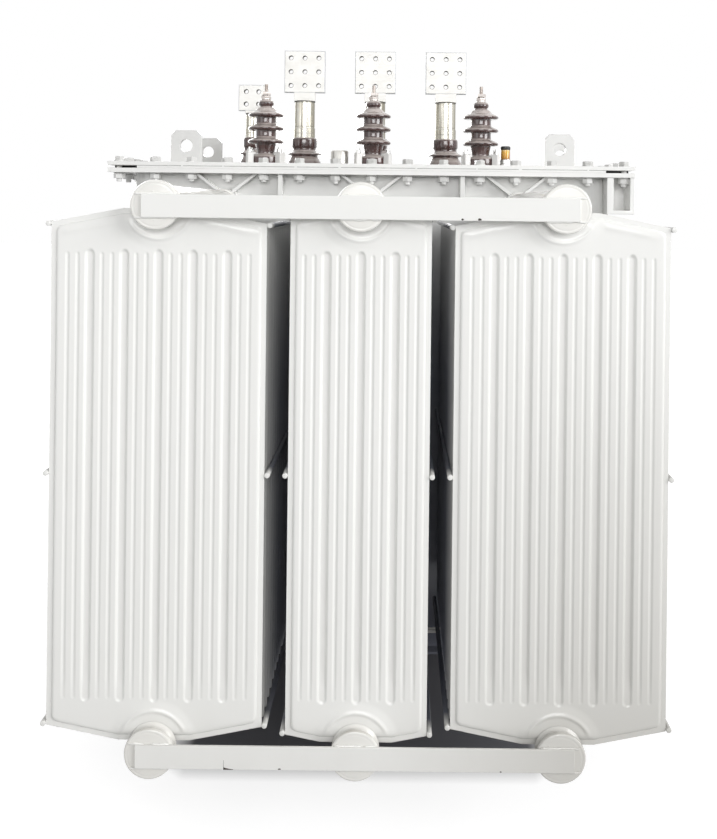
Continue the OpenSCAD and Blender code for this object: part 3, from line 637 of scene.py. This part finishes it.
def radiator(side, where):
    """Panels and header pipes of one radiator."""
    pre = f"{SIDES[side]}_{where}"
    xc = PLACE[where] * RAD_X
    nw = 1 if where == "mid" else 2
    so = Soup()
    for k in range(PANELS):
        panel(so, xc, side * (FIRST_Y - k * PITCH), HALF[where], nw, k == 0, side)
    so.make(f"{pre}_pressed_panels", [PAINT_R, SHADED_INNER_PAINT], [f"{pre}_panels"], 40.0)
    so = Soup()
    fillet = [(0.0, 0.0), (0.0012, 0.0016), (0.0036, 0.0042), (0.0072, 0.0062), (0.0085, 0.0072)]
    for z in HEADERS:
        so.lathe(header_outline(), 72, (xc, side * DISC_Y, z), INWARD[side])
        so.lathe([(PIPE_R + r, d) for r, d in fillet], 72,
                 (xc, side * (FIRST_Y + COLLAR_H + 0.0062), z), INWARD[side])
    so.make(f"{pre}_header_pipes", [PIPE_M], [f"{pre}_headers"], 35.0)


for side in SIDES:
    for where in PLACE:
        radiator(side, where)


def chip(so, x, z, w, h, side):
    """Small bare spot with a ragged outline, a hair proud of the bar's face."""
    k = 11
    ring = []
    for j in range(k):
        a = 2 * math.pi * j / k
        r = 0.75 + 0.45 * rnd.random()
        ring.append((x + w * 0.5 * r * math.cos(a), z + h * 0.5 * r * math.sin(a)))
    vs = [(a, side * y, b) for y in (BRACE_FACE + 0.00005, BRACE_FACE - 0.0008) for a, b in ring]
    so.add(vs, [tuple(range(k)), tuple(range(2 * k - 1, k - 1, -1))] + bands(2, k), 1)


def brace_welds(so, side, z):
    """Beads between a brace bar and the three end discs, some with a gap, and a drop of spatter each."""
    reach = math.sqrt(0.054 ** 2 - (BRACE_H + 0.002) ** 2) - 0.002
    runs = [[(-reach, reach)], [(-reach, -0.010), (0.006, reach)], [(-reach, 0.014), (0.022, reach)]]
    spatter = [(0, -0.0011), (0.0009, -0.0007), (0.0012, 0.0), (0.0009, 0.0007), (0, 0.0011)]
    for i in PLACE.values():
        for q in (-1, 1):
            edge = z + q * (BRACE_H + 0.0008)
            for a, b in rnd.choice(runs):
                ends = [(i * RAD_X + e, side * (DISC_Y + 0.0010), edge) for e in (a, b)]
                so.bead(*ends, 0.0024, 0.0045)
            x = i * RAD_X + rnd.uniform(-reach, reach)
            so.lathe(spatter, 8, (x, side * (DISC_Y + 0.0006), edge + q * rnd.uniform(0.002, 0.006)))


def torn_edge(so, low):
    """Bare wedge, scratch and paint run at the left of the lower front bar."""
    y = -BRACE_FACE - 0.0001
    wedge = [(-0.2850, 0.0060), (-0.2822, 0.0046), (-0.2740, 0.0026), (-0.2640, 0.0012),
             (-0.2640, 0.0002), (-0.2850, 0.0002)]
    scratch = [(-0.2854, 0), (-0.2847, 0), (-0.2848, 0.021), (-0.2853, 0.021)]
    for outline in (wedge, scratch):
        so.add([(x, y, low + z) for x, z in outline], [tuple(range(len(outline)))], 1)
    run = -BRACE_FACE + 0.0009
    so.bead((-0.2863, run, low + 0.002), (-0.2861, run, low + 0.024), 0.0006, 0.003)


def brace(side):
    """The two brace bars of one bank, with welds and worn spots."""
    so = Soup()
    low, top = (z - BRACE_DROP for z in HEADERS)
    for z in (low, top):
        y0, y1 = sorted((side * DISC_Y, side * BRACE_FACE))
        end = RAD_X + BRACE_OUT
        so.box((-end, y0, z - BRACE_H), (end, y1, z + BRACE_H), 0.0010)
        brace_welds(so, side, z)
    if side < 0:
        chip(so, 0.222, top - BRACE_H + 0.0024, 0.0062, 0.0044, side)
        chip(so, 0.259, top - BRACE_H + 0.0030, 0.0085, 0.0054, side)
        torn_edge(so, low - BRACE_H)
        chip(so, -0.1633, low - BRACE_H + 0.0030, 0.0075, 0.0032, side)
        chip(so, 0.318, low - BRACE_H + 0.0020, 0.0048, 0.0026, side)
    else:
        chip(so, -0.31, low - BRACE_H + 0.003, 0.008, 0.004, side)
        chip(so, 0.12, top + BRACE_H - 0.003, 0.006, 0.003, side)
    so.make(f"{SIDES[side]}_braces", [PAINT_R, CHIP], [f"{SIDES[side]}_brace_bars"], 20.0)


for side in SIDES:
    brace(side)

for pre in SIDES.values():
    clone(f"{pre}_tie_rods", f"{pre}_edge_rods", GAP_SHADED_ROD_PAINT, angle=50.0)
    clone(f"{pre}_stubs", f"{pre}_pipe_stubs", PAINT_T, 0.0008)

# Tank and lid
clone("base_skids", "skid_channels", PAINT_S, 0.0015)
clone("tank_floor", "floor_plate", PAINT_T)
clone("tank_walls", "wall_shell", PAINT_W, 0.0)
clone("tank_flange", "upper_flange", PAINT_L)
clone("tank_ribs", "stiffening_ribs", PAINT_T)
clone("side_bracket", "hanging_bracket", PAINT_L)


def gasket():
    """Four rubber bars between flange and lid."""
    so = Soup()
    end, inner_x = 0.794, 0.735
    edge, inner_y = 0.314, 0.280
    z0, z1 = STRIP_Z + 0.0002, LID_Z - 0.0002
    for s in (-1, 1):
        y0, y1 = sorted((s * inner_y, s * edge))
        so.box((-end, y0, z0), (end, y1, z1), 0.0012)
        x0, x1 = sorted((s * inner_x, s * end))
        so.box((x0, -inner_y - 0.0005, z0), (x1, inner_y + 0.0005, z1), 0.0012)
    so.make("rubber_seal", [RUBBER], ["gasket"], 20.0)


gasket()
clone("edge_strips", "edge_bars", PAINT_L, 0.0006)
clone("lid", "cover_plate", PAINT_L)
clone("lifting_lugs", "lug_plates", SHADED_LUG_PAINT, 0.0018)


def lid_bolts():
    """Bolt row round the lid: head and washer above, washer, nut and bolt end below the flange."""
    so = Soup()
    bx, by = LID_X - BOLT_INSET, LID_Y - BOLT_INSET
    shank, seat = 0.0085, FLANGE_Z - 0.0180
    upper = [(shank, 0), (0.0164, 0), (0.0170, 0.0006), (0.0168, 0.0030), (shank, 0.0034)]
    lower = [(shank, 0), (0.0160, 0.0004), (0.0166, 0.0026), (0.0160, 0.0030), (shank, 0.003)]
    spots = [(-bx + i * 2 * bx / LONG_SPACES, s * by) for i in range(LONG_SPACES + 1) for s in (-1, 1)]
    spots += [(s * bx, -by + i * 2 * by / SHORT_SPACES) for i in range(1, SHORT_SPACES) for s in (-1, 1)]
    for x, y in spots:
        turn = rnd.uniform(0, math.pi / 3)
        so.lathe(upper, 28, (x, y, DECK_Z), m=1)
        so.hexa((x, y, DECK_Z + 0.0033), 0.0280, 0.0128, 1, turn)
        so.lathe([(0, 0), (shank, 0), (shank, 0.026), (0, 0.026)], 12, (x, y, STRIP_Z - 0.010))
        so.lathe(lower, 28, (x, y, FLANGE_Z - 0.003))
        so.hexa((x, y, seat), 0.0290, 0.0148, 0, turn + 0.4)
        tip = rnd.uniform(0.006, 0.011)
        end = [(0, -tip), (0.0068, -tip), (0.0084, -tip + 0.0018), (0.0084, 0.001), (0, 0.001)]
        so.lathe(end, 16, (x, y, seat))
    # Painted light: washer, nut and bolt end below the flange take a lighter enamel against the shade
    # there, the heads on the deck a greyer one
    so.make("lid_bolts", [BOLT_PAINT_LIGHTENED, HEAD_PAINT_DARKENED], (), 30.0)


lid_bolts()


def joints():
    """Thin grey strip along the joint under the lid on both long sides: a painted shadow line, with short
    breaks.
    """
    so = Soup()
    start, stop, end = -0.795, 0.78, 0.795
    for s in (-1, 1):
        y0, y1 = sorted((s * (LID_Y - 0.004), s * (LID_Y + 0.0003)))
        x = start
        while x < stop:
            e = min(x + rnd.uniform(0.10, 0.24), end)
            so.box((x, y0, LID_Z - 0.0011), (e, y1, LID_Z + 0.0007), 0.0003, segs=1)
            x = e + rnd.uniform(0.004, 0.012)
    so.make("lid_joint_shadow_line", [JOINT_SHADOW_PAINT], (), 30.0)


joints()


def tank_welds():
    """Weld rings round the stubs, seams under the flange and over the floor plate, beads at the lugs."""
    so = Soup()
    at_wall = [(0.0, 0.0), (0.006, 0.0005), (0.005, 0.003), (0.002, 0.0055), (0.0, 0.006)]
    at_sleeve = [(0.0, 0.0), (0.002, 0.0006), (0.0036, 0.0028), (0.0042, 0.0052), (0.0, 0.0052)]
    levels = (FLANGE_Z - 0.0008, FLOOR_Z + 0.0008)
    for s in (-1, 1):
        for i in PLACE.values():
            for z in HEADERS:
                for ring, off in ((at_wall, 0.0), (at_sleeve, 0.0346)):
                    so.lathe([(PIPE_R + r, d) for r, d in ring], 48,
                             (i * RAD_X, s * (WALL_Y + off), z), OUTWARD[s])
        y, x = s * (WALL_Y + 0.0005), s * (TANK_X + 0.0005)
        for z in levels:
            so.bead((-SEAM_X, y, z), (SEAM_X, y, z), 0.0038, 0.006)
        for z in levels:
            so.bead((x, -SEAM_Y, z), (x, SEAM_Y, z), 0.0038, 0.006)
    for x, y in LUGS:
        for s in (-1, 1):
            ends = [(x + q * 0.047, y + s * (LUG_T / 2 + 0.0005), DECK_Z + 0.0012) for q in (-1, 1)]
            so.bead(*ends, 0.0032, 0.005)
    so.make("tank_weld_beads", [PAINT_T], (), 60.0)


tank_welds()


# Bushings
def smooth_profile(pts, n=4):
    """Rounds a turned outline with a Catmull-Rom curve through its points."""
    p = np.asarray(pts, float)
    ext = np.vstack([2 * p[0] - p[1], p, 2 * p[-1] - p[-2]])
    out = []
    for i in range(1, len(ext) - 2):
        a, b, c, d = ext[i - 1:i + 3]
        for t in np.linspace(0, 1, n, endpoint=False):
            square = (2 * a - 5 * b + 4 * c - d) * t * t
            cube = (3 * b - a - 3 * c + d) * t ** 3
            out.append(0.5 * (2 * b + (c - a) * t + square + cube))
    out.append(p[-1])
    out = np.array(out)
    out[:, 0] = np.maximum(out[:, 0], 0)
    return out


def hv_outline():
    """Turned outline of a high-voltage porcelain, in millimetres: spigot, base, foot, sheds and knob."""
    shed = [(33.5, -8.6), (36, -9.4), (45, -9.2), (52.5, -7.8), (56.2, -5.2), (57, -2.0), (55.8, 1.4),
            (51.2, 4.8), (44.5, 7.8), (38.5, 10.2), (34.6, 13.5)]
    core = [(33.2, 19), (33, 28)]
    pts = [(0.0, -25), (26, -25), (26, 0), (43, 0), (44, 2), (44, 24), (42, 29), (37, 33), (30.5, 36),
           (28.5, 40), (29.5, 51), (31.3, 60), (32.8, 66)]
    for k in range(SHEDS):
        z = SHED_Z + SHED_STEP * k
        pts += [(r, z + d) for r, d in (shed + core if k < SHEDS - 1 else shed)]
    pts += [(31, 182), (26, 186.5), (21, 189.5), (20, 191.5), (22.5, 194), (24.6, 198), (24.6, 203),
            (22, 208.5), (17, 212.3), (10, 213.9), (0.0, 214)]
    return pts


def hv_bushing(i):
    """High-voltage bushing: shedded porcelain, and a threaded stud with washer and two nuts."""
    x = (i - 2) * HV_PITCH
    at = (x, HV_Y, DECK_Z)
    so = Soup()
    so.lathe(smooth_profile(mm(hv_outline())), 72, at)
    so.make(f"hv_insulator_{i}", [GLAZE], [f"hv_porcelain_{i}"], 50.0)
    so = Soup()
    so.lathe(mm([(0, 213.8), (15, 213.8), (15, 216.5), (0.0, 216.5)]), 32, at)
    so.hexa((x, HV_Y, DECK_Z + 0.2165), 0.0275, 0.011, turn=0.3)
    so.hexa((x, HV_Y, DECK_Z + 0.228), 0.0270, 0.011, turn=0.75)
    thread = [(0, 0.214)]
    for k in range(THREADS):
        thread += [(0.0059, 0.2145 + k * THREAD_PITCH), (0.0053, 0.2152 + k * THREAD_PITCH)]
    thread += [(0.0045, 0.2639), (0, 0.264)]
    so.lathe(thread, 20, at)
    so.make(f"hv_terminal_stud_{i}", [BRASS], [f"hv_stud_{i}"], 30.0)


for i in (1, 2, 3):
    hv_bushing(i)
clone("hv_clamps", "hv_claws", CLAW, 0.0030)


def claw_bolts():
    """Washer, nut and bolt end on each clamp claw; every nut stopped at another turn."""
    so = Soup()
    for i in (-1, 0, 1):
        for a in CLAW_ANGLES:
            x = i * HV_PITCH + CLAW_R * math.cos(math.radians(a))
            y = HV_Y + CLAW_R * math.sin(math.radians(a))
            so.lathe([(0.004, 0), (0.0085, 0), (0.0085, 0.002), (0.004, 0.002)], 20, (x, y, DECK_Z + 0.042))
            so.hexa((x, y, DECK_Z + 0.044), 0.013, 0.008, turn=a)
            so.lathe([(0, 0), (0.0039, 0), (0.0039, 0.014), (0, 0.0145)], 12, (x, y, DECK_Z + 0.044))
    so.make("claw_nuts", [ZINC], (), 30.0)


claw_bolts()


def cell_edge(x0, x1, z0, z1):
    """Points round a rectangle, eight to a side."""
    corners = [(x0, z0), (x1, z0), (x1, z1), (x0, z1), (x0, z0)]
    return [(a + (c - a) * q, b + (d - b) * q) for (a, b), (c, d) in zip(corners, corners[1:])
            for q in np.linspace(0, 1, 8, endpoint=False)]


def circle_under(edge, cx, cz, r):
    """Points on a circle, each in line with its middle and a point of the edge."""
    angles = [math.atan2(b - cz, a - cx) for a, b in edge]
    return [(cx + r * math.cos(a), cz + r * math.sin(a)) for a in angles]


def flag(so, xc, zc, w, h, n, pitch):
    """Plate on edge with a square field of holes and softened edges."""
    def at(points, y):
        return [(xc + a, y, zc + b) for a, b in points]

    t, bev = FLAG_T / 2, FLAG_BEVEL
    cuts = [(k - n / 2) * pitch for k in range(1, n)]
    gx = [-w / 2 + bev] + cuts + [w / 2 - bev]
    gz = [-h / 2 + bev] + cuts + [h / 2 - bev]
    middles = [(k - (n - 1) / 2) * pitch for k in range(n)]
    for side in (-1, 1):
        y, inside = LV_Y + side * t, LV_Y + side * (t - HOLE_BEVEL)
        for i, cx in enumerate(middles):
            for j, cz in enumerate(middles):
                edge = cell_edge(gx[i], gx[i + 1], gz[j], gz[j + 1])
                rim = circle_under(edge, cx, cz, FLAG_HOLE_R + HOLE_BEVEL)
                wall = circle_under(edge, cx, cz, FLAG_HOLE_R)
                so.add(at(edge, y) + at(rim, y), bands(2, len(edge)), 0)
                # The hole's bevelled rim and wall take the dark hole material: painted shade in the holes
                so.add(at(rim, y) + at(wall, inside) + at(wall, LV_Y), bands(3, len(edge)), 2)
    rings = []
    half_round = [(bev, -t), (0.0007, -t + 0.0007), (0, -t + bev)]
    for dx, y in half_round + [(dx, -y) for dx, y in half_round[::-1]]:
        a, b = w / 2 - dx, h / 2 - dx
        rings += at([(-a, -b), (a, -b), (a, b), (-a, b)], LV_Y + y)
    so.add(rings, bands(6, 4), 3)


# Low-voltage terminals, in millimetres: scale of the porcelain, radius of its spigot, radius and top of
# the stem, neck and flag, number of holes along a side and their pitch
Terminal = namedtuple("Terminal", "scale spigot stem top neck_w neck_h flag_w flag_h holes pitch")
LARGE = Terminal(1.0, 40, 35, 233, 73, 29, 141, 145, 3, 48)
SMALL = Terminal(0.7, 26, 22, 189, 50, 8, 96, 90, 2, 43)
LV_OUTLINE = [(61, 0), (62, 1.5), (62, 8), (60.5, 13), (56, 24), (50, 34), (46.5, 40), (48, 43), (54, 44.3),
              (59, 45.6), (60, 47.5), (58.5, 49.8), (52, 53.5), (45, 57), (41.5, 61), (40.2, 66), (41, 70),
              (43.4, 74), (44, 80), (44, 93), (43, 100), (40, 104.4), (30, 105), (0.0, 105)]


def stem_outline(r, top):
    """Turned outline of a low-voltage stem: foot ring in two steps, plain bar and a rolled collar."""
    foot = [(0, 105), (r + 1.5, 105), (r + 1.5, 119), (r + 0.9, 120), (r + 1.5, 121), (r + 1.5, 136.5),
            (r + 0.6, 138), (r, 140), (r, 142.5), (r - 0.8, 143.3), (r, 144.1)]
    collar = [(r, -8), (r - 1.6, -6.8), (r - 1.6, -4.4), (r + 0.8, -3.6), (r + 0.8, -1.0), (r - 0.6, 0),
              (0, 0)]
    return foot + [(q, top + d) for q, d in collar]


def lv_bushing(i):
    """Low-voltage bushing: squat porcelain, round stem, neck and flag. The fourth is the small one."""
    kind = SMALL if i == 4 else LARGE
    x = LV_SMALL_X if i == 4 else (i - 2) * LV_PITCH
    at = (x, LV_Y, DECK_Z)
    so = Soup()
    pts = [(0.0, -25), (kind.spigot, -25), (kind.spigot, 0)]
    pts += [(r * kind.scale, z) for r, z in LV_OUTLINE]
    so.lathe(smooth_profile(mm(pts)), 72, at)
    so.make(f"lv_insulator_{i}", [GLAZE], [f"lv_porcelain_{i}"], 50.0)
    so = Soup()
    r, top = kind.stem, kind.top
    so.lathe(mm(stem_outline(r, top)), 64, at, m=1)
    # Dark band just under the stem's collar, below the flag: painted shadow
    painted_shadow_ring = [(r - 2, top - 4.6), (r + 1.3, top - 4.2), (r + 1.3, top - 0.8), (r - 2, top - 0.5)]
    so.lathe(mm(painted_shadow_ring), 64, at, m=2)
    z0 = DECK_Z + top / 1000
    z1 = z0 + kind.neck_h / 1000
    neck = kind.neck_w / 2000
    so.box((x - neck, LV_Y - FLAG_T / 2, z0 - 0.0005), (x + neck, LV_Y + FLAG_T / 2, z1 + 0.0012), 0.0012)
    flag(so, x, z1 + kind.flag_h / 2000, kind.flag_w / 1000, kind.flag_h / 1000, kind.holes,
         kind.pitch / 1000)
    so.make(f"lv_flag_{i}", [PLATE_M, STEM_M, HOLE_SHADE_PAINT, EDGE_M], [f"lv_terminal_{i}"], 20.0)


for i in (1, 2, 3, 4):
    lv_bushing(i)

clone("filler_cap", "filler_plug", PLUG_M)
clone("sight_base", "sight_foot", ZINC)
clone("sight_glass", "sight_tube", AMBER, 0.0006)
clone("sight_cap", "sight_lid", BLACK, 0.0006)


# Floor, light and camera
def seen_directly(nt):
    """One for rays that show the surroundings, in the picture itself or in gloss and glass."""
    lp = nt.nodes.new("ShaderNodeLightPath")
    out = lp.outputs["Is Camera Ray"]
    for name in ("Is Glossy Ray", "Is Transmission Ray"):
        m = nt.nodes.new("ShaderNodeMath")
        m.operation = "MAXIMUM"
        nt.links.new(out, m.inputs[0])
        nt.links.new(lp.outputs[name], m.inputs[1])
        out = m.outputs[0]
    return out


def pale_floor():
    """Pale floor with a painted shadow in the field under the machine, lifted to white further out."""
    n = Nodes("pale_floor")
    past = [n.math("MAXIMUM", n.math("SUBTRACT", n.away(axis), half), 0.0)
            for axis, half in (("X", SHADE_X), ("Y", SHADE_Y))]
    away = n.math("ADD", *past)
    col = n.ramp(n.noise(0.8, 3.0), [(0.3, (0.34, 0.34, 0.34)), (0.7, (0.36, 0.36, 0.36))])
    # Painted shadow: a dark base colour and no lift in the field under the machine
    col = n.mix(n.range(away, 0.0, 0.05, 0.7, 0.0), col, (0.10, 0.10, 0.12))
    lift = n.math("ADD", n.range(away, 0.0, 0.13, 0.0, 0.80), n.range(away, 0.13, 2.5, 0.0, 0.22))
    return n.set(Base_Color=col, Roughness=0.9, Specular_IOR_Level=0.1, Emission_Color=(1, 1, 1),
                 Emission_Strength=n.times(seen_directly(n.nt), lift))


def studio_world():
    """Even white surroundings: plain where seen, dimmer as light."""
    world = bpy.data.worlds.new("studio")
    world.use_nodes = True
    nt = world.node_tree
    bg = nt.nodes["Background"]
    bg.inputs["Color"].default_value = (1, 1, 1, 1)
    level = nt.nodes.new("ShaderNodeMix")
    level.data_type = "FLOAT"
    level.inputs[2].default_value = 0.27
    level.inputs[3].default_value = 1.0
    nt.links.new(seen_directly(nt), level.inputs[0])
    nt.links.new(level.outputs[0], bg.inputs["Strength"])
    return world


def area(name, at, to, size, power):
    """Rectangular lamp at one place, aimed at another."""
    lt = bpy.data.lights.new(name, "AREA")
    lt.shape = "RECTANGLE"
    lt.size, lt.size_y = size
    lt.energy = power
    ob = bpy.data.objects.new(name, lt)
    ob.location = at
    ob.rotation_euler = (Vector(to) - Vector(at)).to_track_quat("-Z", "Y").to_euler()
    bpy.context.scene.collection.objects.link(ob)


me = bpy.data.meshes.new("floor")
corners = [(-FLOOR_HALF, -FLOOR_HALF, 0), (FLOOR_HALF, -FLOOR_HALF, 0),
           (FLOOR_HALF, FLOOR_HALF, 0), (-FLOOR_HALF, FLOOR_HALF, 0)]
me.from_pydata(corners, [], [(0, 1, 2, 3)])
me.materials.append(pale_floor())
floor = bpy.data.objects.new("floor", me)
bpy.context.scene.collection.objects.link(floor)

bpy.context.scene.world = studio_world()
area("key", (12.4, -8.0, 6.0), (0, -0.8, 1.1), (8.0, 8.0), 1600)
area("front", (0.4, -11.0, 3.7), (0, -1.0, 1.2), (6.0, 3.0), 400)
area("fill", (-4.8, -4.8, 2.6), (0, -0.8, 0.9), (3.0, 3.0), 36)
area("top", (0.5, 0.5, 6.0), (0, 0, 1.2), (4.0, 4.0), 24)
area("back", (-3.0, 9.0, 3.4), (0, 0.6, 1.0), (6.0, 4.0), 500)

cam = bpy.data.cameras.new("camera")
cam.sensor_fit = "AUTO"
cam.sensor_width = 36.0
cam.lens = LENS
cam.shift_x = SHIFT_RIGHT / PICTURE_H
cam.shift_y = SHIFT_UP / PICTURE_H
cob = bpy.data.objects.new("camera", cam)
cob.location = CAMERA_AT
cob.rotation_euler = (math.pi / 2, CAMERA_ROLL, 0)
bpy.context.scene.collection.objects.link(cob)
bpy.context.scene.camera = cob
bpy.context.scene.view_settings.view_transform = "Standard"
